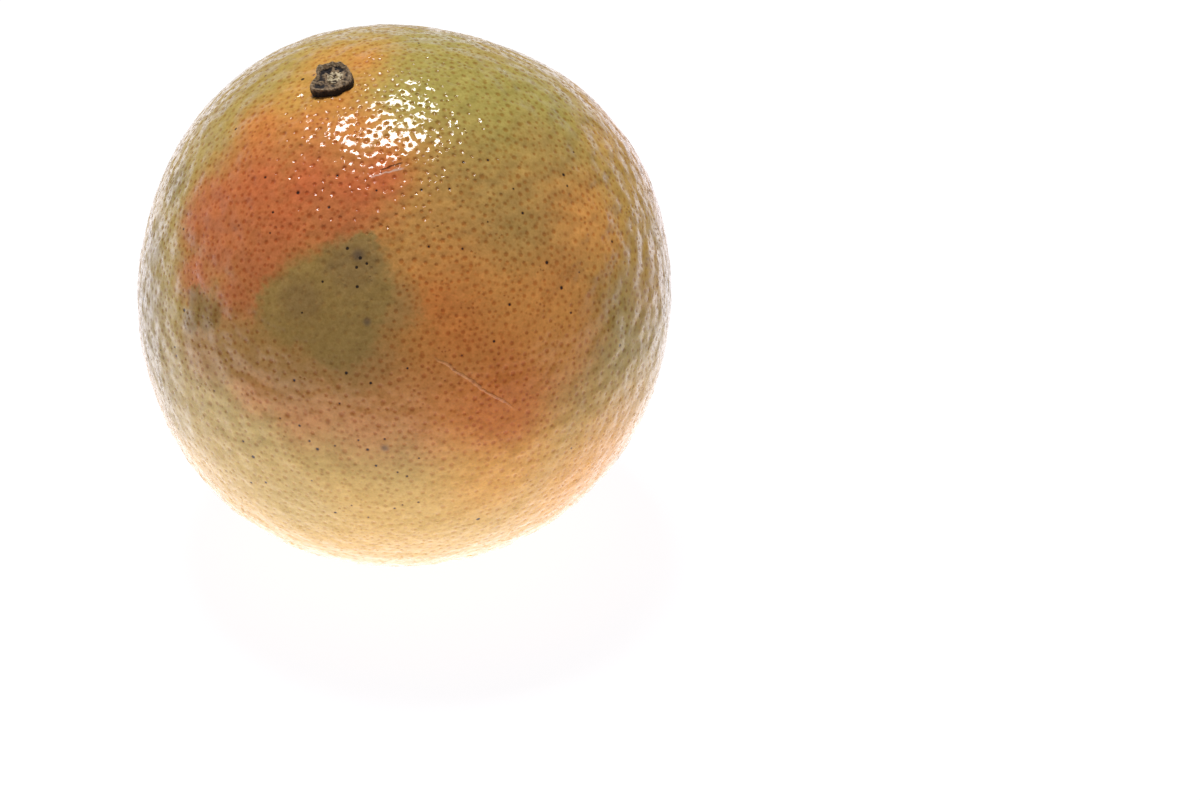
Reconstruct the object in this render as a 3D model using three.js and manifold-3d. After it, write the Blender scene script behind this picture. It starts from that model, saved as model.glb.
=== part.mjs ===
// A whole grapefruit as it settles on a table: one grown solid with a small flat spot underneath.
// The dried calyx lies in the hollow of its stem end, and a stub of broken stem stands in the calyx.

import * as THREE from "three";
import { mergeVertices } from "three/addons/utils/BufferGeometryUtils.js";
import Module from "manifold-3d";

// Driving dimensions, in millimetres and degrees. In the fruit's own axes the stem end is the +Z pole.
// A polar angle is measured from that pole, and a longitude turns from +X towards +Y.
const GIRTH_RADIUS = 50.8;
const HALF_HEIGHT = 52.3;
const LEAN = { angle: 14.2, longitude: 208 };
const REST_SPOT_RADIUS = 11.5;
const STEM_HOLLOW = { depth: 1.8, spread: 8 };
const BLOSSOM_SCAR = { depth: 0.7, spread: 4 };
const FURROWS = { count: 9, depth: 0.25, polar: 10, spread: 4.5 };
const GAP = 0.3;

// Soft shoulders (a rise above zero) and flats (below zero) that make the fruit a little square.
const SWELLS = [
  { polar: 121, longitude: 219, rise: 1.2, spread: 24 },
  { polar: 75, longitude: 21, rise: 1.2, spread: 24 },
  { polar: 105, longitude: 80, rise: 0.8, spread: 26 },
  { polar: 40, longitude: 118, rise: 0.4, spread: 24 },
  { polar: 68, longitude: 171, rise: -1.0, spread: 24 },
  { polar: 45, longitude: 61, rise: -0.9, spread: 20 },
  { polar: 140, longitude: 261, rise: -0.3, spread: 20 },
];

// The calyx is a disc with a sepal lobe every fifth of a turn. One lobe reaches further than the rest.
const CALYX = { radius: 3.4, thickness: 1.4, lipHeight: 1.8 };
const LOBES = { firstLongitude: 52, reaches: [0.8, 0.5, 1.8, 0.6, 0.7], tipLift: 0.3 };
const STUB = { radius: 1.6, height: 1.1, seatDepth: 0.6, raggedness: 0.2 };

// Facets: rings from pole to pole, crowded together at the poles, and sides around the axis.
const FRUIT_RINGS = 44;
const RING_CROWDING = 0.11;
const FRUIT_SIDES = 64;
const CALYX_SIDES = 50;
const STUB_SIDES = 20;

const radians = THREE.MathUtils.degToRad;
const degrees = THREE.MathUtils.radToDeg;
const { clamp, euclideanModulo, smoothstep } = THREE.MathUtils;

const wasm = await Module();
wasm.setup();

// A closed geometry as a solid that can be cut.
function solidFrom(geometry) {
  const bare = geometry.clone();
  bare.deleteAttribute("normal");
  bare.deleteAttribute("uv");
  const merged = mergeVertices(bare, 1e-3);
  const vertProperties = new Float32Array(merged.getAttribute("position").array);
  const triVerts = new Uint32Array(merged.index.array);
  return new wasm.Manifold(new wasm.Mesh({ numProp: 3, vertProperties, triVerts }));
}

// A solid as a geometry with normals, ready for a mesh.
function geometryFrom(solid) {
  const cut = solid.getMesh();
  const geometry = new THREE.BufferGeometry();
  geometry.setAttribute("position", new THREE.BufferAttribute(cut.vertProperties, 3));
  geometry.setIndex(new THREE.BufferAttribute(cut.triVerts, 1));
  geometry.computeVertexNormals();
  return geometry;
}

// A turned body about +Z from a profile of [radius, height] points, listed from the bottom up.
function turned(profile, sides) {
  const points = profile.map(([radius, height]) => new THREE.Vector2(radius, height));
  return new THREE.LatheGeometry(points, sides).rotateX(Math.PI / 2);
}

// Moves each vertex of a geometry to the place that a function puts it in.
function reshape(geometry, place) {
  const position = geometry.getAttribute("position");
  const point = new THREE.Vector3();
  for (let index = 0; index < position.count; index += 1) {
    place(point.fromBufferAttribute(position, index));
    position.setXYZ(index, point.x, point.y, point.z);
  }
  geometry.computeVertexNormals();
  return geometry;
}

// A unit direction in the fruit's own axes.
function directionOf(polar, longitude) {
  const across = Math.sin(radians(polar));
  const turn = radians(longitude);
  return new THREE.Vector3(across * Math.cos(turn), across * Math.sin(turn), Math.cos(radians(polar)));
}

// A smooth hump of height 1 that fades with the angle away from its middle.
function hump(angle, spread) {
  return Math.exp(-((angle / spread) ** 2));
}

// Distance from the fruit's centre to its peel along a unit direction.
function peelRadius(direction) {
  const polar = degrees(Math.acos(clamp(direction.z, -1, 1)));
  const longitude = Math.atan2(direction.y, direction.x);
  const groove = (0.5 + 0.5 * Math.cos(FURROWS.count * longitude)) ** 2;
  let radius = 1 / Math.hypot(Math.hypot(direction.x, direction.y) / GIRTH_RADIUS, direction.z / HALF_HEIGHT);
  for (const swell of SWELLS) {
    const away = degrees(direction.angleTo(directionOf(swell.polar, swell.longitude)));
    radius += swell.rise * hump(away, swell.spread);
  }
  radius -= FURROWS.depth * groove * hump(polar - FURROWS.polar, FURROWS.spread);
  radius -= STEM_HOLLOW.depth * hump(polar, STEM_HOLLOW.spread);
  radius -= BLOSSOM_SCAR.depth * hump(180 - polar, BLOSSOM_SCAR.spread);
  return radius;
}

// Height of the peel in the stem hollow, beside the axis by x and y.
function peelHeight(x, y) {
  const direction = new THREE.Vector3(x, y, HALF_HEIGHT - STEM_HOLLOW.depth).normalize();
  return peelRadius(direction) * direction.z;
}

// The fruit: rings closer together at both poles, each vertex set out to the peel.
function fruitGeometry() {
  const profile = [];
  for (let ring = 0; ring <= FRUIT_RINGS; ring += 1) {
    const share = ring / FRUIT_RINGS;
    const climb = Math.PI * (share - RING_CROWDING * Math.sin(2 * Math.PI * share));
    profile.push([Math.sin(climb), -Math.cos(climb)]);
  }
  profile[0][0] = 0;
  profile[FRUIT_RINGS][0] = 0;
  return reshape(turned(profile, FRUIT_SIDES), (point) => {
    point.normalize();
    point.multiplyScalar(peelRadius(point));
  });
}

// The calyx: a disc over the hollow's peel, with a round seat for the stem in its middle.
function calyxGeometry() {
  const { radius, thickness, lipHeight } = CALYX;
  const seat = STUB.radius + GAP;
  const profile = [
    [0, 0],
    [0.6 * radius, 0],
    [0.97 * radius, 0.1 * thickness],
    [radius, 0.55 * thickness],
    [0.95 * radius, 0.95 * thickness],
    [0.8 * radius, thickness],
    [seat + 0.5, lipHeight],
    [seat, lipHeight],
    [seat, lipHeight - STUB.seatDepth],
    [0, lipHeight - STUB.seatDepth],
  ];
  return reshape(turned(profile, CALYX_SIDES), (point) => {
    const fromAxis = Math.hypot(point.x, point.y);
    const pastFirst = degrees(Math.atan2(point.y, point.x)) - LOBES.firstLongitude;
    const turn = (euclideanModulo(pastFirst, 360) / 360) * LOBES.reaches.length;
    const reach = LOBES.reaches[Math.round(turn) % LOBES.reaches.length];
    const fullness = Math.abs(Math.cos(Math.PI * (turn - Math.round(turn)))) ** 0.7;
    const outward = smoothstep(fromAxis / radius, 0.6, 1) * fullness;
    const stretch = 1 + (outward * reach) / radius;
    point.x *= stretch;
    point.y *= stretch;
    point.z += peelHeight(point.x, point.y) + GAP + LOBES.tipLift * outward;
  });
}

// The stub of stem: a short peg in the calyx, broken off with a ragged top.
function stubGeometry() {
  const base = CALYX.lipHeight - STUB.seatDepth + GAP;
  const top = base + STUB.height;
  const profile = [
    [0, base],
    [STUB.radius, base],
    [1.02 * STUB.radius, 0.5 * (base + top)],
    [0.9 * STUB.radius, top],
    [0.5 * STUB.radius, top + 0.1],
    [0, top - 0.1],
  ];
  return reshape(turned(profile, STUB_SIDES), (point) => {
    const longitude = Math.atan2(point.y, point.x);
    const fromAxis = Math.hypot(point.x, point.y) / STUB.radius;
    const breakage = Math.sin(3 * longitude + 1) + 0.6 * Math.sin(5 * longitude);
    point.z += STUB.raggedness * breakage * fromAxis * smoothstep(point.z, base, top);
    point.z += peelHeight(point.x, point.y) + GAP;
  });
}

function named(name, geometry, material) {
  const mesh = new THREE.Mesh(geometry, new THREE.MeshStandardMaterial(material));
  mesh.name = name;
  return mesh;
}

// The fruit's own axes lean over, and rise until the table cuts off just the depth of the rest spot.
const leanTurn = radians(LEAN.longitude);
const leanAxis = new THREE.Vector3(-Math.sin(leanTurn), Math.cos(leanTurn), 0);
const leaning = new THREE.Group();
leaning.quaternion.setFromAxisAngle(leanAxis, radians(LEAN.angle));
const down = new THREE.Vector3(0, 0, -1).applyQuaternion(leaning.quaternion.clone().invert());
const bottomRadius = peelRadius(down);
leaning.position.z = Math.sqrt(bottomRadius ** 2 - REST_SPOT_RADIUS ** 2);
leaning.updateMatrix();

// The table, in the fruit's own axes, presses the rest spot flat.
const table = new THREE.BoxGeometry(4 * GIRTH_RADIUS, 4 * GIRTH_RADIUS, GIRTH_RADIUS);
table.translate(0, 0, -0.5 * GIRTH_RADIUS);
table.applyMatrix4(leaning.matrix.clone().invert());
const settledFruit = geometryFrom(solidFrom(fruitGeometry()).subtract(solidFrom(table)));

leaning.add(
  named("fruit", settledFruit, { color: 0xb98548, roughness: 0.35, metalness: 0 }),
  named("calyx", calyxGeometry(), { color: 0x4f443a, roughness: 0.85, metalness: 0 }),
  named("stem_stub", stubGeometry(), { color: 0xcdbb97, roughness: 0.9, metalness: 0 }),
);

const grapefruit = new THREE.Group();
grapefruit.add(leaning);

export default grapefruit;
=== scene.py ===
import math
import random

import bmesh
import bpy
from mathutils import Matrix, Vector, noise
from mathutils.bvhtree import BVHTree


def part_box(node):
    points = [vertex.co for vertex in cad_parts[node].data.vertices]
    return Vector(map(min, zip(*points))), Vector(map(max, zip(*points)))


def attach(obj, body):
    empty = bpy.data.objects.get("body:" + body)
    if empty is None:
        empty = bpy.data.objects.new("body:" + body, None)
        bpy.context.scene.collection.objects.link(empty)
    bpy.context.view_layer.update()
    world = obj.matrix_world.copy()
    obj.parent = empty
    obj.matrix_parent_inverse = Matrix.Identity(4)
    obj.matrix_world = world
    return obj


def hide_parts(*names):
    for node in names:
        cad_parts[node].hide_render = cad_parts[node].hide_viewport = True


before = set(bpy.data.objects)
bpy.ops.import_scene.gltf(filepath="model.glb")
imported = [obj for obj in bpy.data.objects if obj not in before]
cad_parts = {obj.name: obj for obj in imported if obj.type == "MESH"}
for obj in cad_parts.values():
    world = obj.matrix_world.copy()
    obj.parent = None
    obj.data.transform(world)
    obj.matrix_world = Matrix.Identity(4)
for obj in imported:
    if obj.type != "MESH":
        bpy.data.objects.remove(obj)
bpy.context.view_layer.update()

# The camera looks down on the fruit from the photograph's side, from far enough for little perspective.
# It is aimed so that the fruit's middle and size fall where the photograph's 1200 by 800 frame has them.
PHOTO_SIZE = Vector((1200, 800))
FRUIT_PIXEL = Vector((405.5, 291.8))
FRUIT_RADIUS_PIXELS = 268.6
SENSOR_WIDTH = 36
VIEW_ELEVATION = math.radians(33)
VIEW_DEPTH = 0.8

fruit_low, fruit_high = (Vector(corner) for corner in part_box("fruit"))
fruit_middle = (fruit_low + fruit_high) / 2
fruit_radius = sum(fruit_high - fruit_low) / 6
metres_per_pixel = fruit_radius / FRUIT_RADIUS_PIXELS
focal_pixels = VIEW_DEPTH / metres_per_pixel
view_right = Vector((1, 0, 0))
view_up = Vector((0, math.sin(VIEW_ELEVATION), math.cos(VIEW_ELEVATION)))
view_back = view_right.cross(view_up)
fruit_offset = (FRUIT_PIXEL - PHOTO_SIZE / 2) * metres_per_pixel
view_place = fruit_middle + view_back * VIEW_DEPTH - view_right * fruit_offset.x + view_up * fruit_offset.y

camera_lens = bpy.data.cameras.new("camera")
camera_lens.sensor_width = SENSOR_WIDTH
camera_lens.lens = focal_pixels * SENSOR_WIDTH / PHOTO_SIZE.x
camera = bpy.data.objects.new("camera", camera_lens)
view_turn = Matrix((view_right, view_up, view_back)).transposed()
camera.matrix_world = Matrix.Translation(view_place) @ view_turn.to_4x4()
bpy.context.scene.collection.objects.link(camera)
bpy.context.scene.camera = camera

# The peel is the fruit's own skin, grown in one piece: a waxy rind pitted all over with oil glands.
# Its mesh starts from gland sites scattered evenly over a ball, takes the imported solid's shape, and gets
# a small pit at every gland. A few glands have dried to dark specks.
GLAND_CUTS = 35
GLAND_SPACING = 0.0335
SCATTER = 0.3
SCATTER_ROUNDS = 3
SMOOTHING_ROUNDS = 18
SWELL_WAVES = ((0.011, 0.00025), (0.004, 0.00016))
FURROW_COUNT = 9
FURROW_DEPTH = 0.00035
FURROW_DISTANCE = 0.0072
FURROW_WIDTH = 0.0042
GLAND_RADIUS = 0.00072
GLAND_DEPTH = 0.00011
SMALL_GLAND_SPACING = 0.0014
SPECK_SHARE = 0.006
SPECK_PIXELS = (
    (493, 162), (463, 162), (566, 178), (567, 189), (523, 209), (486, 221), (608, 242), (552, 262),
    (579, 275), (563, 292), (508, 306), (368, 387), (417, 506), (338, 514), (303, 428), (238, 127),
    (271, 210), (328, 207), (320, 287), (303, 314), (352, 249), (358, 256), (366, 262), (355, 264),
    (346, 369), (341, 402), (311, 438), (358, 439), (384, 437), (373, 449), (241, 444), (252, 459),
    (379, 467), (399, 469), (407, 477), (313, 482), (252, 481), (291, 383), (404, 369), (335, 444),
)

random.seed(20)
stem_low, stem_high = (Vector(corner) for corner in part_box("calyx"))
stem_axis = ((stem_low + stem_high) / 2 - fruit_middle).normalized()
stem_side = stem_axis.cross(view_back).normalized()
stem_rear = stem_axis.cross(stem_side)


def scattered_ball():
    """A ball of triangles whose corners are gland sites: even, but in no rows."""
    ball = bmesh.new()
    bmesh.ops.create_icosphere(ball, subdivisions=1, radius=1)
    bmesh.ops.subdivide_edges(ball, edges=ball.edges, cuts=GLAND_CUTS, use_grid_fill=True)
    for site in ball.verts:
        stray = Vector([random.gauss(0, SCATTER * GLAND_SPACING) for axis in range(3)])
        site.co = (site.co.normalized() + stray).normalized()
    for turn in range(SCATTER_ROUNDS):
        bmesh.ops.delete(ball, geom=ball.edges[:] + ball.faces[:], context="EDGES_FACES")
        bmesh.ops.convex_hull(ball, input=ball.verts[:])
        unused = [site for site in ball.verts if not site.link_faces]
        bmesh.ops.delete(ball, geom=unused, context="VERTS")
        smooth(ball, 1)
        for site in ball.verts:
            site.co.normalize()
    return ball


def smooth(shape, rounds):
    for turn in range(rounds):
        bmesh.ops.smooth_vert(
            shape, verts=shape.verts, factor=0.5, use_axis_x=True, use_axis_y=True, use_axis_z=True
        )


def mean_reach(shape):
    return sum((vertex.co - fruit_middle).length for vertex in shape.verts) / len(shape.verts)


def furrow(place):
    """Depth of the shallow grooves that run out from the stem."""
    beside = place - fruit_middle
    across = beside.dot(stem_side)
    along = beside.dot(stem_rear)
    distance = math.hypot(across, along)
    if beside.dot(stem_axis) < 0:
        return 0
    groove = 0.5 + 0.5 * math.cos(FURROW_COUNT * math.atan2(along, across) + 3 * noise.noise(place * 150))
    return FURROW_DEPTH * groove ** 2 * math.exp(-(((distance - FURROW_DISTANCE) / FURROW_WIDTH) ** 2))


peel = scattered_ball()
fruit_solid = bmesh.new()
fruit_solid.from_mesh(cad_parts["fruit"].data)
solid_surface = BVHTree.FromBMesh(fruit_solid)
for site in peel.verts:
    site.co = solid_surface.ray_cast(fruit_middle, site.co)[0]
full_reach = mean_reach(peel)
smooth(peel, SMOOTHING_ROUNDS)
regrowth = Matrix.Translation(fruit_middle) @ Matrix.Scale(full_reach / mean_reach(peel), 4)
bmesh.ops.transform(peel, matrix=regrowth @ Matrix.Translation(-fruit_middle), verts=peel.verts)
smooth_surface = BVHTree.FromBMesh(peel)


def seen_at(x, y):
    """The place on the peel that the photograph shows at a pixel."""
    across = (Vector((x, y)) - PHOTO_SIZE / 2) / focal_pixels
    sight = view_right * across.x - view_up * across.y - view_back
    return smooth_surface.ray_cast(view_place, sight)[0]


def faced(bearing, climb):
    """The place on the peel in a direction from the fruit's middle: degrees round from +X, and upwards."""
    turn = math.radians(bearing)
    rise = math.radians(climb)
    outward = Vector((math.cos(turn) * math.cos(rise), math.sin(turn) * math.cos(rise), math.sin(rise)))
    return smooth_surface.ray_cast(fruit_middle, outward)[0]


for site in peel.verts:
    outward = (site.co - fruit_middle).normalized()
    swell = sum(height * noise.noise(site.co / length) for length, height in SWELL_WAVES)
    site.co += outward * (swell - furrow(site.co))

pore_depth = peel.verts.layers.float.new("pore")
speck_share = peel.verts.layers.float.new("speck")
gland_rims = bmesh.ops.bevel(
    peel,
    geom=peel.verts,
    offset=42,
    offset_type="PERCENT",
    affect="VERTICES",
    segments=1,
    profile=0.5,
    material=-1,
)
glands = bmesh.ops.poke(peel, faces=gland_rims["faces"], center_mode="MEAN")
for pit in glands["verts"]:
    outward = (pit.co - fruit_middle).normalized()
    rim = [edge.other_vert(pit) for edge in pit.link_edges]
    room = min((vertex.co - pit.co).length for vertex in rim)
    radius = min(GLAND_RADIUS * random.uniform(0.7, 1.15), 1.15 * room)
    for vertex in rim:
        spoke = vertex.co - pit.co
        spoke -= outward * spoke.dot(outward)
        vertex.co = pit.co + spoke.normalized() * radius
    pit[pore_depth] = random.uniform(0.35, 1)
    pit[speck_share] = random.uniform(0.65, 1) * (random.random() < SPECK_SHARE)
    pit.co -= outward * GLAND_DEPTH * pit[pore_depth]
for x, y in SPECK_PIXELS:
    mark = seen_at(x, y)
    nearest = min(glands["verts"], key=lambda pit: (pit.co - mark).length)
    nearest[speck_share] = random.uniform(0.7, 1)
for vertex in peel.verts:
    vertex.co.z = max(vertex.co.z, fruit_low.z)
for face in peel.faces:
    face.smooth = True


class Wire:
    """A value in a material's node tree. Arithmetic on it adds Math nodes, and node() adds any other node."""

    def __init__(self, tree, socket=None):
        self.tree = tree
        self.socket = socket

    def node(self, kind, settings=None, sockets=None, output=0):
        added = self.tree.nodes.new(kind)
        for name, value in (settings or {}).items():
            setattr(added, name, value)
        self.feed(added, sockets or {})
        return Wire(self.tree, added.outputs[output])

    def feed(self, node, sockets):
        """Links wires to a node's sockets, and sets plain values on them."""
        for name, value in sockets.items():
            if isinstance(value, Wire):
                self.tree.links.new(value.socket, node.inputs[name])
            else:
                node.inputs[name].default_value = value

    def maths(self, operation, first, second=0.0):
        return self.node("ShaderNodeMath", {"operation": operation}, {0: first, 1: second})

    def vectors(self, operation, *operands, output="Vector"):
        return self.node("ShaderNodeVectorMath", {"operation": operation}, dict(enumerate(operands)), output)

    def __add__(self, other):
        return self.maths("ADD", self, other)

    def __sub__(self, other):
        return self.maths("SUBTRACT", self, other)

    def __mul__(self, other):
        return self.maths("MULTIPLY", self, other)

    def __rsub__(self, other):
        return self.maths("SUBTRACT", other, self)

    __radd__ = __add__
    __rmul__ = __mul__


def new_material(name):
    material = bpy.data.materials.new(name)
    material.use_nodes = True
    return material, Wire(material.node_tree)


def dye(red, green, blue):
    """A colour from the 0 to 255 of a colour picker, as light."""
    shares = [channel / 255 for channel in (red, green, blue)]
    light = [share / 12.92 if share < 0.04045 else ((share + 0.055) / 1.055) ** 2.4 for share in shares]
    return (*light, 1)


def ramped(value, start, end):
    """0 at start, 1 at end, and smooth between."""
    return value.node(
        "ShaderNodeMapRange",
        {"interpolation_type": "SMOOTHSTEP"},
        {"Value": value, "From Min": start, "From Max": end},
    )


def blended(share, under, over, blend="MIX"):
    """The over colour laid on the under colour by a share of 0 to 1."""
    wired = share if isinstance(share, Wire) else under
    return wired.node(
        "ShaderNodeMix",
        {"data_type": "RGBA", "blend_type": blend},
        {"Factor": share, 6: under, 7: over},
        output=2,
    )


def grain(place, length, detail=2, output="Fac"):
    """Noise whose lumps are about as long as the given length."""
    return place.node(
        "ShaderNodeTexNoise", None, {"Vector": place, "Scale": 1 / length, "Detail": detail}, output
    )


def raised(dents, distance):
    """A normal tilted by dents that are up to the given distance high."""
    sockets = {"Strength": 1, "Distance": distance, "Height": dents}
    return dents.node("ShaderNodeBump", None, sockets, "Normal")


peel_material, wire = new_material("citrus_peel")
place = wire.node("ShaderNodeTexCoord", output="Object")
pore = wire.node("ShaderNodeAttribute", {"attribute_name": "pore"}, output="Fac")
speck = wire.node("ShaderNodeAttribute", {"attribute_name": "speck"}, output="Fac")
height = wire.node("ShaderNodeSeparateXYZ", None, {0: place}, output="Z")


def shifted(start, drift, amount):
    """A place moved by a drift of 0 to 1 along each axis, up to half the amount to either side."""
    centred = start.vectors("SUBTRACT", drift, (0.5, 0.5, 0.5))
    return start.vectors("MULTIPLY_ADD", centred, (amount, amount, amount), start)


def covered(start, spots, softness):
    """1 inside any of the round spots, each a place and a radius in pixels, and 0 away from them."""
    cover = None
    for middle, radius in spots:
        reach = radius * metres_per_pixel
        away = start.vectors("DISTANCE", start, middle, output="Value")
        spot = ramped(away, reach * (1 + softness), reach * (1 - softness))
        cover = spot if cover is None else start.maths("MAXIMUM", cover, spot)
    return cover


def streak(start, first, last, width):
    """1 along a straight mark on the peel from one place to another, with tapering ends."""
    outward = ((first + last) / 2 - fruit_middle).normalized()
    along = (last - first).normalized()
    across = outward.cross(along).normalized()
    length = (last - first).length
    offset = start.vectors("SUBTRACT", start, first)
    travel, aside, rise = (
        start.vectors("DOT_PRODUCT", offset, axis, output="Value") for axis in (along, across, outward)
    )
    ends = ramped(travel, 0, 0.2 * length) * ramped(travel, length, 0.8 * length)
    line = ramped(start.maths("ABSOLUTE", aside), width, 0.3 * width)
    return line * ends * ramped(rise, -0.02, -0.01)


wide_drift = grain(place, 0.007, output="Color")
middle_drift = grain(place, 0.003, output="Color")
fine_drift = grain(place, 0.0012, output="Color")
strayed = shifted(shifted(place, wide_drift, 0.0035), fine_drift, 0.003)
strayed_little = shifted(shifted(place, middle_drift, 0.0012), fine_drift, 0.0006)

UPPER_GROUND = dye(190, 162, 84)
FOOT_GROUND = dye(214, 173, 90)
OLIVE_SPOTS = (
    (seen_at(288, 308), 34),
    (seen_at(318, 300), 44),
    (seen_at(345, 282), 40),
    (seen_at(362, 247), 15),
    (seen_at(338, 333), 36),
    (seen_at(372, 300), 22),
)
# Each patch: its colour, its strength, the softness of its edge, and its spots as places and radii in pixels.
PATCHES = (
    # Ochre front
    (
        dye(214, 156, 82),
        1.0,
        0.7,
        (
            (seen_at(445, 220), 76),
            (seen_at(525, 240), 90),
            (seen_at(400, 255), 60),
            (seen_at(565, 215), 62),
            (seen_at(420, 165), 36),
        ),
    ),
    # Orange brow
    (
        dye(220, 146, 72),
        1.0,
        0.8,
        ((seen_at(265, 125), 34), (seen_at(310, 118), 36), (seen_at(350, 128), 32), (seen_at(395, 160), 26)),
    ),
    # Tawny belly
    (
        dye(216, 150, 82),
        1.0,
        0.6,
        ((seen_at(305, 400), 46), (seen_at(370, 400), 60), (seen_at(430, 410), 52), (seen_at(255, 385), 34)),
    ),
    # Orange flank
    (
        dye(236, 148, 71),
        1.0,
        0.85,
        ((seen_at(465, 330), 58), (seen_at(518, 345), 76), (seen_at(482, 402), 50), (seen_at(440, 305), 34)),
    ),
    # Light flank: a paler patch on the right side, partly painted light brightening that side
    (
        dye(246, 172, 86),
        0.7,
        0.7,
        ((seen_at(520, 290), 42), (seen_at(560, 330), 42), (seen_at(598, 225), 44)),
    ),
    # Orange foot
    (dye(230, 166, 70), 1.0, 0.8, ((seen_at(505, 462), 58), (faced(-42, -22), 70))),
    # Deep flank
    (dye(222, 126, 50), 0.8, 0.6, ((seen_at(505, 412), 42),)),
    # Blush
    (
        dye(217, 118, 68),
        1.0,
        0.9,
        (
            (seen_at(305, 190), 50),
            (seen_at(348, 192), 40),
            (seen_at(255, 195), 58),
            (seen_at(280, 222), 46),
            (seen_at(222, 205), 36),
            (seen_at(380, 178), 26),
        ),
    ),
    # Dusky blush
    (
        dye(206, 122, 70),
        0.95,
        0.8,
        (
            (seen_at(225, 238), 50),
            (seen_at(255, 262), 46),
            (seen_at(205, 222), 34),
            (seen_at(236, 300), 34),
            (seen_at(335, 222), 26),
            (seen_at(196, 274), 26),
        ),
    ),
    # Stem crown
    (dye(214, 160, 78), 1.0, 0.5, ((seen_at(345, 68), 50), (seen_at(305, 92), 30))),
    # Stem blush
    (dye(222, 142, 68), 0.5, 0.7, ((seen_at(340, 98), 17), (seen_at(366, 60), 16))),
    # Green shoulder
    (
        dye(180, 163, 84),
        1.0,
        0.6,
        ((seen_at(455, 78), 62), (seen_at(520, 98), 64), (seen_at(480, 125), 44), (seen_at(440, 40), 40)),
    ),
    # Green haze
    (
        dye(186, 150, 81),
        0.8,
        0.9,
        ((seen_at(470, 165), 44), (seen_at(500, 190), 46), (seen_at(515, 225), 36), (seen_at(545, 150), 36)),
    ),
    # Green brow
    (dye(184, 156, 80), 1.0, 0.6, ((seen_at(216, 112), 26), (seen_at(258, 76), 30))),
    # Green rim
    (
        dye(164, 142, 80),
        1.0,
        0.8,
        (
            (seen_at(147, 300), 40),
            (seen_at(150, 345), 42),
            (seen_at(170, 395), 46),
            (seen_at(152, 250), 28),
            (seen_at(175, 185), 20),
        ),
    ),
    # Green foot
    (
        dye(198, 170, 98),
        0.7,
        0.7,
        ((seen_at(200, 410), 56), (seen_at(232, 455), 62), (seen_at(285, 500), 50)),
    ),
    # Olive fringe
    (
        dye(186, 142, 80),
        0.95,
        0.6,
        (
            (seen_at(290, 352), 48),
            (seen_at(348, 358), 40),
            (seen_at(240, 350), 36),
            (seen_at(388, 305), 26),
            (seen_at(205, 350), 34),
        ),
    ),
    # Olive patch
    (
        dye(172, 139, 76),
        1.0,
        0.24,
        OLIVE_SPOTS,
    ),
    # Dark olive
    (dye(158, 126, 76), 0.7, 0.5, ((seen_at(352, 262), 26), (seen_at(300, 300), 20))),
    # Small olive patch
    (
        dye(150, 120, 64),
        0.8,
        0.4,
        ((seen_at(208, 312), 17), (seen_at(196, 302), 12), (seen_at(192, 320), 14)),
    ),
    # Gold rim
    (
        dye(214, 168, 84),
        0.8,
        0.6,
        ((seen_at(632, 205), 46), (seen_at(606, 150), 34), (seen_at(648, 270), 50), (faced(10, 20), 80)),
    ),
    # Blush behind
    (
        dye(214, 134, 72),
        0.9,
        0.7,
        (
            (faced(70, 22), 75),
            (faced(86, 12), 80),
            (faced(102, 4), 75),
            (faced(56, 32), 60),
            (faced(94, -8), 60),
        ),
    ),
    # Tawny behind
    (
        dye(214, 156, 80),
        0.9,
        0.9,
        ((faced(30, -8), 80), (faced(20, 30), 70), (faced(128, -18), 70), (faced(60, -22), 70)),
    ),
    # Green behind
    (
        dye(176, 156, 80),
        0.9,
        0.8,
        ((faced(152, 8), 70), (faced(140, 38), 60), (faced(166, -16), 56), (faced(100, 52), 50)),
    ),
    # Olive behind
    (
        dye(168, 136, 80),
        1.0,
        0.16,
        (
            (faced(58, -4), 32),
            (faced(64, -3), 30),
            (faced(53, -7), 28),
            (faced(60, -10), 28),
            (faced(67, 1), 20),
        ),
    ),
)
FOOT_TOP = 0.058
FOOT_BOTTOM = 0.034
BLOSSOM_SCAR = smooth_surface.ray_cast(fruit_middle, -stem_axis)[0]
BRUISE = dye(84, 72, 70)
BRUISES = ((seen_at(385, 448), 3.5), (seen_at(367, 322), 3.5), (seen_at(358, 255), 5))
SCAR_ENDS = (seen_at(428, 352), seen_at(519, 411))
NICK_ENDS = (seen_at(378, 171), seen_at(404, 163))
NICK_GLINT_ENDS = (seen_at(368, 178), seen_at(406, 167))
SCAR_WIDTH = 0.00032
NICK_WIDTH = 0.0002
NICK_GLINT_WIDTH = 0.00025
PEBBLE_LENGTH = 0.0018
WAVE_LENGTH = 0.0034
RELIEF_HEIGHT = 0.0006

foot = ramped(height, FOOT_TOP, FOOT_BOTTOM)
ground = blended(foot, UPPER_GROUND, FOOT_GROUND)
for colour, strength, softness, spots in PATCHES:
    ground = blended(covered(strayed, spots, softness) * strength, ground, colour)

pit_share = ramped(pore, 0.0, 0.55)
gland_cells = {"Vector": place, "Scale": 1 / SMALL_GLAND_SPACING}
small_gland = wire.node("ShaderNodeTexVoronoi", None, gland_cells, "Distance")
small_pit = ramped(small_gland, 0.36, 0.12)
mottle = grain(place, 0.0025, detail=3)
cells = 0.5 * grain(place, 0.0009, detail=2) + 0.5 * grain(place, 0.0004, detail=2)
tint = blended(0.3 * mottle + 0.7 * cells, (0.5, 0.42, 0.1, 1), (1.6, 1.68, 2.1, 1))
ground = blended(1.0, ground, tint, "MULTIPLY")
# Gland pits darken the ground colour: partly the glands' own darker colour, partly painted shade in the pits.
gland_colour_and_pit_shade = wire.maths("MAXIMUM", pit_share, 0.7 * small_pit)
olive = covered(strayed, OLIVE_SPOTS, 0.4)
ground = blended(gland_colour_and_pit_shade * (0.85 - 0.3 * foot - 0.55 * olive), ground, dye(222, 190, 156), "MULTIPLY")
scar = streak(strayed_little, *SCAR_ENDS, SCAR_WIDTH)
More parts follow.
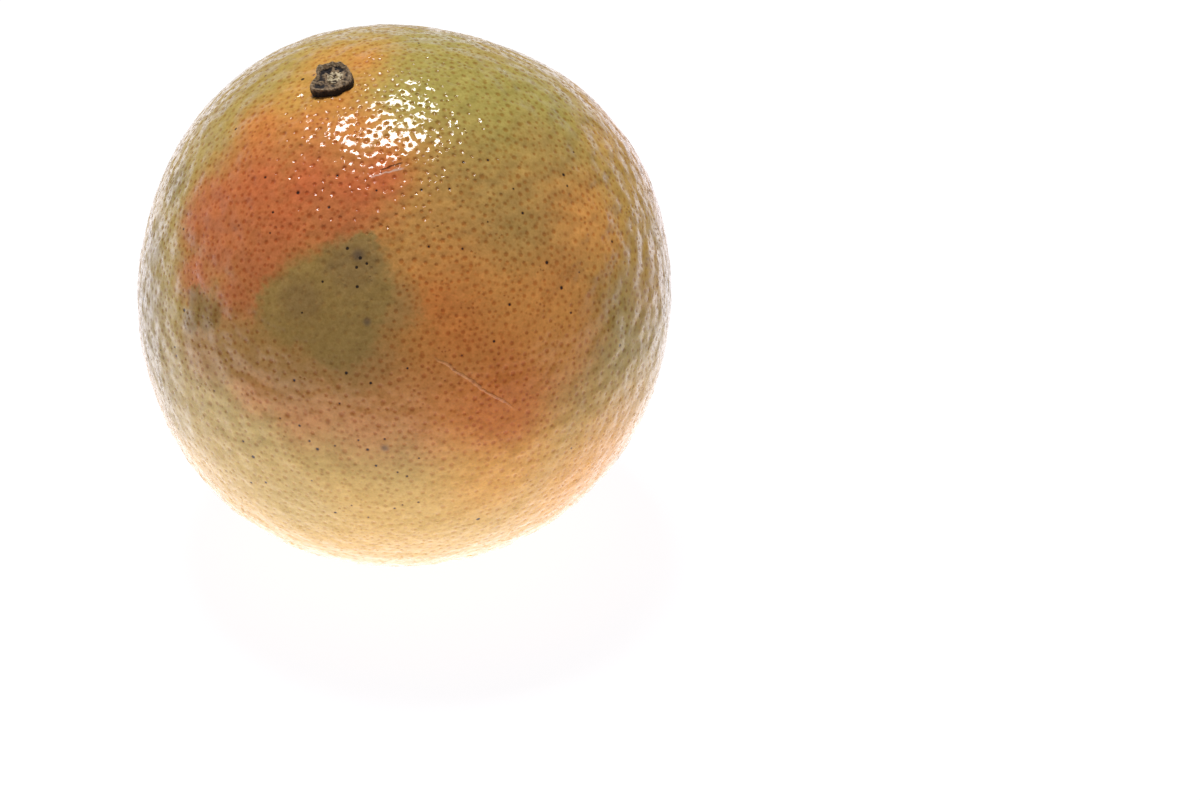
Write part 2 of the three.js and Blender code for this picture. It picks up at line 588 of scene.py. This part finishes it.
nick = streak(strayed_little, *NICK_ENDS, NICK_WIDTH)
painted_nick_glint = streak(strayed_little, *NICK_GLINT_ENDS, NICK_GLINT_WIDTH)
ground = blended(scar * 0.22, ground, dye(236, 190, 150))
ground = blended(nick * 0.7, ground, dye(84, 44, 26))
# The pale line along the nick is a painted highlight: glints on the edge of the crease.
ground = blended(painted_nick_glint * 0.6, ground, dye(240, 214, 196))
ground = blended(covered(strayed, ((BLOSSOM_SCAR, 26),), 0.6) * 0.6, ground, dye(176, 150, 84))
ground = blended(covered(strayed, ((BLOSSOM_SCAR, 13),), 0.3) * 0.9, ground, dye(112, 80, 52))
ground = blended(covered(place, BRUISES, 0.8) * 0.6, ground, BRUISE)
ground = blended(ramped(speck, 0.4, 0.6) * 0.95, ground, dye(40, 30, 24))

coarse = covered(place, ((seen_at(372, 145), 110),), 0.6)
core = covered(place, ((seen_at(384, 125), 36),), 0.5)
calm = wire.maths("MAXIMUM", foot, covered(place, ((seen_at(420, 350), 165),), 0.4))
pebbles = 0.75 * grain(place, PEBBLE_LENGTH, detail=0) * (0.3 + 0.7 * coarse)
waves = grain(place, WAVE_LENGTH, detail=0) * (1.3 - calm - 0.6 * coarse)
bowls = (0.24 * ramped(pore, 0.0, 0.9) + 0.03 * small_pit) * (0.3 + 0.7 * coarse)
dents = (waves + pebbles) * (1 - 0.55 * core) - bowls + 0.15 * scar - 0.3 * nick
peel_finish = {
    "Base Color": ground,
    "Roughness": 0.12 + 0.1 * pit_share,
    "Normal": raised(dents, RELIEF_HEIGHT),
    "IOR": 1.41,
    "Sheen Weight": 0.15,
    "Sheen Roughness": 0.3,
    "Sheen Tint": (0.95, 0.93, 1, 1),
}
wire.feed(peel_material.node_tree.nodes["Principled BSDF"], peel_finish)


def add_piece(name, shape, material, node):
    """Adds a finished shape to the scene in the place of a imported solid."""
    mesh = bpy.data.meshes.new(name)
    shape.to_mesh(mesh)
    mesh.materials.append(material)
    piece = bpy.data.objects.new(name, mesh)
    bpy.context.scene.collection.objects.link(piece)
    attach(piece, "root")
    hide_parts(node)


add_piece("peel", peel, peel_material, "fruit")

# The calyx is the fruit's button of five sepals, dried hard and dark where the stem grew. It is a thick,
# shrivelled plate on the peel: folds run out from its middle, and its rim curls up behind.
CALYX_SIDES = 120
CALYX_RINGS = 60
CALYX_RADIUS = 0.0035
# Where the rim reaches past the disc, in degrees and metres. Below zero it is notched.
CALYX_LOBES = ((52, 0.0003), (124, 0.0005), (162, -0.0008), (204, 0.0014), (262, 0.0004), (318, 0.0007))
CALYX_LOBE_WIDTH = 26
CALYX_HEIGHT = 0.0013
CALYX_SEAT = 0.0005
CALYX_CURL = 0.0012
CALYX_SINK = 0.0004
CALYX_LUMPS = ((0.0016, 0.00035), (0.0007, 0.0004))
CALYX_FOLD_RISE = 0.0008
CALYX_FOLD_SPREAD = 0.0004
CALYX_CURL_BEARING = 105
HUSK_FIBRE = 0.0004
HUSK_RELIEF = 0.0005
CALYX_SHIFT = stem_side * 0.0004 - stem_rear * 0.0008


def peel_under(across, along):
    """The place on the peel beside the stem's axis."""
    above = fruit_middle + stem_axis * 2 * fruit_radius + stem_side * across + stem_rear * along
    return smooth_surface.ray_cast(above, -stem_axis)[0]


def stepped(value, start, end):
    """0 at start, 1 at end, and straight between."""
    return min(max((value - start) / (end - start), 0), 1)


calyx = bmesh.new()
bmesh.ops.create_uvsphere(calyx, u_segments=CALYX_SIDES, v_segments=CALYX_RINGS, radius=1)
calyx_light_shade_layer = calyx.verts.layers.float.new("relief_light_and_shade")
for vertex in calyx.verts:
    share = math.hypot(vertex.co.x, vertex.co.y)
    turn = math.atan2(vertex.co.y, vertex.co.x)
    outline = Vector((math.cos(turn), math.sin(turn), 0))
    reach = CALYX_RADIUS * (1 + 0.06 * noise.noise(outline * 3))
    for bearing, length in CALYX_LOBES:
        away = math.remainder(math.degrees(turn) - bearing, 360)
        reach += length * math.exp(-((away / CALYX_LOBE_WIDTH) ** 2))
    topness = stepped(vertex.co.z, -0.3, 0.3)
    behind = 0.5 + 0.5 * math.cos(turn - math.radians(CALYX_CURL_BEARING))
    curl = CALYX_CURL * stepped(share, 0.74, 0.96) * behind * (1 + 0.2 * noise.noise(outline * 3.5))
    groove = behind * stepped(share, 0.5, 0.72) * stepped(share, 0.86, 0.74)
    seat = CALYX_SEAT * stepped(share, 0.5, 0.35)
    foot_place = peel_under(outline.x * reach * share, outline.y * reach * share) + CALYX_SHIFT
    fold = 0.5 * share * (1.25 - share) * noise.noise(outline * 5 + Vector((0, 0, 2 * share)))
    lump = sum(size * noise.noise(foot_place / length) for length, size in CALYX_LUMPS)
    lump *= 1 - 0.8 * stepped(share, 0.6, 0.9)
    rise = (CALYX_HEIGHT + curl - seat + CALYX_SINK) * topness - CALYX_SINK
    # The husk's colour follows this value: painted shade darkens the side wall, the underside and the groove,
    # and painted light brightens the folds and lumps, with a painted highlight along the curled rim.
    vertex[calyx_light_shade_layer] = topness ** 2 * (0.6 + 0.8 * fold - 0.5 * groove + (lump + 0.5 * curl) / 0.001)
    vertex.co = foot_place + stem_axis * (rise + topness * (lump + CALYX_FOLD_RISE * fold))
    spread = share * (lump + CALYX_FOLD_SPREAD * fold)
    vertex.co += (stem_side * outline.x + stem_rear * outline.y) * spread
for face in calyx.faces:
    face.smooth = True

calyx_material, husk_wire = new_material("dried_calyx")
husk_place = husk_wire.node("ShaderNodeTexCoord", output="Object")
relief_light_and_shade = husk_wire.node("ShaderNodeAttribute", {"attribute_name": "relief_light_and_shade"}, output="Fac")
fibres = grain(husk_place, HUSK_FIBRE, detail=4)
# Dark where the relief value is low and pale where it is high: painted shade on the walls and painted light
# on the raised tops and curled rim, over the husk's own fibres.
husk = blended(ramped(relief_light_and_shade + fibres, 0.8, 1.2), dye(38, 31, 31), dye(146, 120, 90))
husk = blended(ramped(fibres, 0.5, 0.66) * ramped(relief_light_and_shade, 0.4, 0.8) * 0.75, husk, dye(204, 184, 154))
husk_finish = {"Base Color": husk, "Roughness": 0.6 + 0.35 * fibres, "Normal": raised(fibres, HUSK_RELIEF)}
husk_wire.feed(calyx_material.node_tree.nodes["Principled BSDF"], husk_finish)
add_piece("dried_calyx", calyx, calyx_material, "calyx")

# The stem stub is the end of the woody stem, torn off level with the calyx when the fruit was picked. Its
# pale fibres stand up in splinters with dark gaps between them.
STUB_CUTS = 4
STUB_SINK = 0.0007
STUB_TEAR = 0.0006
SPLINTER_LENGTH = 0.0006
SPLINTER_HEIGHT = 0.0008
SPLINTER_BULGE = 0.0002
WOOD_FIBRE = 0.0003
WOOD_RELIEF = 0.0002

stub = bmesh.new()
stub.from_mesh(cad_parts["stem_stub"].data)
bmesh.ops.remove_doubles(stub, verts=stub.verts, dist=1e-6)
bmesh.ops.subdivide_edges(stub, edges=stub.edges, cuts=STUB_CUTS, use_grid_fill=True)
stub.normal_update()
for face in stub.faces:
    face.smooth = True
splinter_height = stub.verts.layers.float.new("splinter")
for vertex in stub.verts:
    splinter = noise.noise(vertex.co / SPLINTER_LENGTH)
    torn = max(vertex.normal.dot(stem_axis), 0)
    vertex[splinter_height] = 0.5 + splinter
    vertex.co += stem_axis * torn * (SPLINTER_HEIGHT * splinter - STUB_TEAR)
    vertex.co += vertex.normal * (1 - torn) * SPLINTER_BULGE * splinter
    vertex.co += CALYX_SHIFT - stem_axis * STUB_SINK

stub_material, wood_wire = new_material("broken_stem")
wood_place = wood_wire.node("ShaderNodeTexCoord", output="Object")
splinter_share = wood_wire.node("ShaderNodeAttribute", {"attribute_name": "splinter"}, output="Fac")
wood_grain = grain(wood_place, WOOD_FIBRE, detail=3)
pale_share = ramped(splinter_share + 0.6 * wood_grain, 0.55, 0.95)
wood = blended(pale_share, dye(84, 64, 48), dye(230, 212, 176))
wood_finish = {
    "Base Color": wood,
    "Roughness": 0.6 + 0.3 * wood_grain,
    "Normal": raised(wood_grain, WOOD_RELIEF),
}
wood_wire.feed(stub_material.node_tree.nodes["Principled BSDF"], wood_finish)
add_piece("broken_stem", stub, stub_material, "stem_stub")

# The studio is a white light table under one soft box overhead, a little behind the fruit, with a white
# backdrop all round. The table glows, so the fruit's underside is bright and its shadow stays faint.
TABLE_SIZE = 4
TABLE_SEEN = (0.93, 0.93, 0.955, 1)
TABLE_LIGHT = (1.65, 1.61, 1.69, 1)
TABLE_BACK_LIGHT = (1.45, 1.41, 1.53, 1)
TABLE_FAR_LIGHT = (0.75, 0.73, 0.78, 1)
TABLE_FRONT_LIGHT = (0.25, 0.24, 0.25, 1)
KEY_DIRECTION = Vector((-0.085, 0.22, 0.97))
KEY_DISTANCE = 1.1
KEY_WIDTH = 0.36
KEY_DEPTH = 0.24
KEY_POWER = 10.3
KEY_COLOUR = (0.97, 0.98, 1)
BACKDROP_LIGHT = (0.52, 0.51, 0.55, 1)
CEILING_LIGHT = (0.1, 0.1, 0.1, 1)
FILL_LIGHT = (0.24, 0.24, 0.24, 1)

table_shape = bmesh.new()
bmesh.ops.create_grid(table_shape, x_segments=1, y_segments=1, size=TABLE_SIZE)
table_mesh = bpy.data.meshes.new("light_table")
table_shape.to_mesh(table_mesh)
table_material, table_wire = new_material("light_table")
seen = table_wire.node("ShaderNodeLightPath", output="Is Camera Ray")
table_place = table_wire.node("ShaderNodeTexCoord", output="Object")
table_depth = table_wire.node("ShaderNodeSeparateXYZ", None, {0: table_place}, output="Y")
table_side = table_wire.node("ShaderNodeSeparateXYZ", None, {0: table_place}, output="X")
table_reach = table_wire.vectors("LENGTH", table_place, output="Value")
glow = blended(ramped(table_depth, -0.02, 0.1), TABLE_LIGHT, TABLE_BACK_LIGHT)
glow = blended(ramped(table_reach, 0.12, 0.6), glow, TABLE_FAR_LIGHT)
glow = blended(ramped(table_depth, -0.05, -0.4), glow, TABLE_FRONT_LIGHT)
glow = blended(ramped(table_side - 0.6 * table_depth, 0.05, 0.17) * 0.55, glow, TABLE_FRONT_LIGHT)
glow = blended(seen, glow, TABLE_SEEN)
table_finish = {
    "Emission Color": glow,
    "Emission Strength": 1,
    "Base Color": (0.16, 0.15, 0.14, 1),
    "Roughness": 0.9,
    "Specular IOR Level": 0,
}
table_wire.feed(table_material.node_tree.nodes["Principled BSDF"], table_finish)
table_mesh.materials.append(table_material)
table = bpy.data.objects.new("light_table", table_mesh)
bpy.context.scene.collection.objects.link(table)

key_light = bpy.data.lights.new("soft_box", "AREA")
key_light.shape = "RECTANGLE"
key_light.size = KEY_WIDTH
key_light.size_y = KEY_DEPTH
key_light.energy = KEY_POWER
key_light.color = KEY_COLOUR
key = bpy.data.objects.new("soft_box", key_light)
key.location = fruit_middle + KEY_DIRECTION.normalized() * KEY_DISTANCE
key.rotation_euler = KEY_DIRECTION.to_track_quat("Z", "Y").to_euler()
bpy.context.scene.collection.objects.link(key)

studio = bpy.data.worlds.new("studio")
studio.use_nodes = True
studio_wire = Wire(studio.node_tree)
outlook = studio_wire.node("ShaderNodeTexCoord", output="Generated")
level = studio_wire.node("ShaderNodeSeparateXYZ", None, {0: outlook}, output="Z")
depth = studio_wire.node("ShaderNodeSeparateXYZ", None, {0: outlook}, output="Y")
side = studio_wire.node("ShaderNodeSeparateXYZ", None, {0: outlook}, output="X")
backdrop = ramped(level, 0.6, 0.1) * ramped(depth - 0.6 * side, -0.1, 0.6)
walls = blended(backdrop, CEILING_LIGHT, BACKDROP_LIGHT)
walls = blended(ramped(side - depth, 0.0, 1.0), walls, FILL_LIGHT)
studio_wire.feed(studio.node_tree.nodes["Background"], {"Color": walls})
bpy.context.scene.world = studio
bpy.context.scene.view_settings.view_transform = "Standard"
